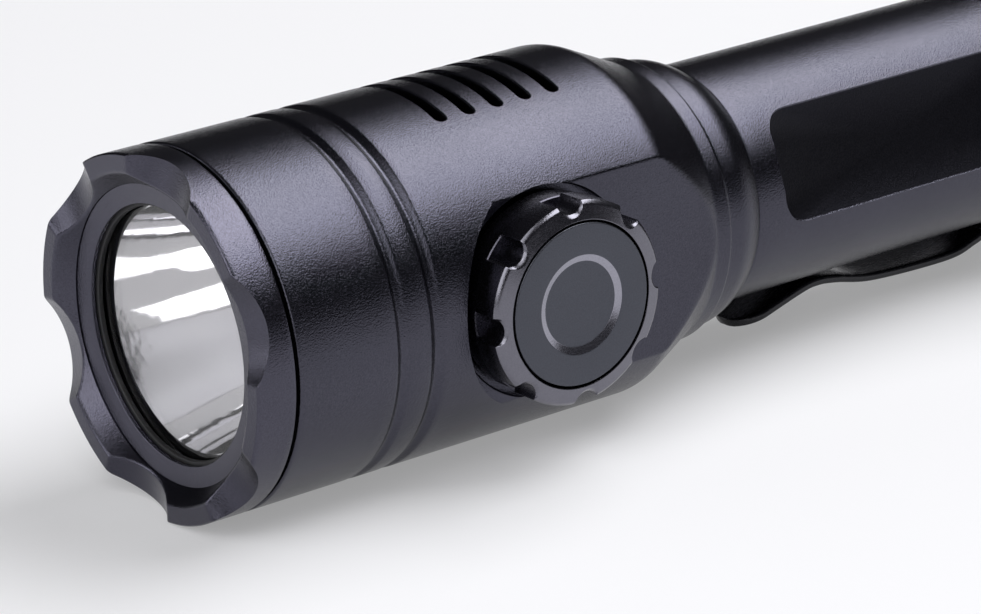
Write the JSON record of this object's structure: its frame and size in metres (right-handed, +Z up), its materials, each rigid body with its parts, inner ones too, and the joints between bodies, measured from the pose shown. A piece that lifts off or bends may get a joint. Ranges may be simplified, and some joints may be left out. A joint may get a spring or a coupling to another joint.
{
  "type": "tactical flashlight",
  "caption": "Hand-held metal flashlight with a scalloped strike bezel, a turning side selector with a push button, a pocket clip and a tail switch.",
  "frame": {"origin": "under the middle of the light's box, on the surface that the light lies on", "axes": "+Y from the bezel to the tail along the beam axis (the beam leaves towards -Y), +X out of the side selector, +Z up"},
  "size_m": [0.043, 0.157, 0.04],
  "materials": {
    "anodised": "fine blasted, dark grey anodised",
    "black_steel": "glossy black coated spring steel",
    "bright_steel": "bare steel",
    "rubber": "matte black rubber",
    "mirror": "vacuum-coated, light orange peel",
    "glass": "clear, coated",
    "brass": "turned, gold plated",
    "board": "green solder mask",
    "white_plastic": "moulded",
    "black_plastic": "moulded",
    "emitter": "phosphor under a clear dome",
    "cell_sleeve": "shrink sleeve",
    "red_sleeve": "wire insulation"
  },
  "bodies": {
    "root": {"strike_bezel": "anodised", "window_ring": "anodised", "window_seal": "rubber", "window": "glass", "bezel_gasket": "rubber", "reflector": "mirror", "led_centring_ring": "white_plastic", "led_emitter": "emitter", "led_board": "board", "head_shell": "anodised", "led_wire_positive": "red_sleeve", "led_wire_negative": "black_plastic", "control_board": "board", "tact_switch": "black_plastic", "hall_sensor_front": "black_plastic", "hall_sensor_rear": "black_plastic", "driver_board": "board", "driver_inductor": "black_plastic", "driver_chip": "black_plastic", "driver_ring": "brass", "front_contact": "brass", "contact_insulator": "white_plastic", "knob_hub": "bright_steel", "knob_washer": "white_plastic", "knob_circlip": "bright_steel", "button_spring": "bright_steel", "battery_tube": "anodised", "cell": "cell_sleeve", "neck_oring": "rubber", "tail_oring": "rubber", "pocket_clip": "black_steel", "clip_screw_front": "black_steel", "clip_screw_rear": "black_steel"},
    "selector": {"knob_ring": "anodised", "selector_magnet_front": "bright_steel", "selector_magnet_rear": "bright_steel"},
    "side_button": {"button_cap": "anodised", "button_oring": "rubber"},
    "tail_contact": {"tail_spring": "brass"},
    "tail_end": {"tail_cap": "anodised", "tail_board": "board", "tail_retaining_ring": "brass", "tail_switch": "black_plastic", "tail_button_spring": "bright_steel"},
    "tail_push": {"tail_button": "rubber"}
  },
  "joints": [
    {"name": "selector_turn", "type": "hinge", "parent": "root", "child": "selector", "pos_m": [0, -0.039, 0.02], "axis": [1, 0, 0], "range_deg": [0, 180]},
    {"name": "side_button_press", "type": "slide", "parent": "root", "child": "side_button", "axis": [-1, 0, 0], "range_m": [0, 0.0008], "stiffness_N_per_m": 800, "springref_m": -0.002, "deforming": ["button_spring"]},
    {"name": "tail_cap_back_off", "type": "slide", "parent": "root", "child": "tail_contact", "axis": [0, 1, 0], "range_m": [0, 0.0075]},
    {"name": "tail_cap_turn", "type": "hinge", "parent": "tail_contact", "child": "tail_end", "pos_m": [-0.00155, 0.065, 0.02], "axis": [0, 1, 0], "range_deg": [0, 1800]},
    {"name": "tail_button_press", "type": "slide", "parent": "tail_end", "child": "tail_push", "axis": [0, -1, 0], "range_m": [0, 0.0008], "stiffness_N_per_m": 1200, "springref_m": -0.002, "deforming": ["tail_button_spring"]}
  ],
  "couplings": [
    {"joint": "tail_cap_turn", "follows": "tail_cap_back_off", "rad_per_m": 4188.8}
  ]
}
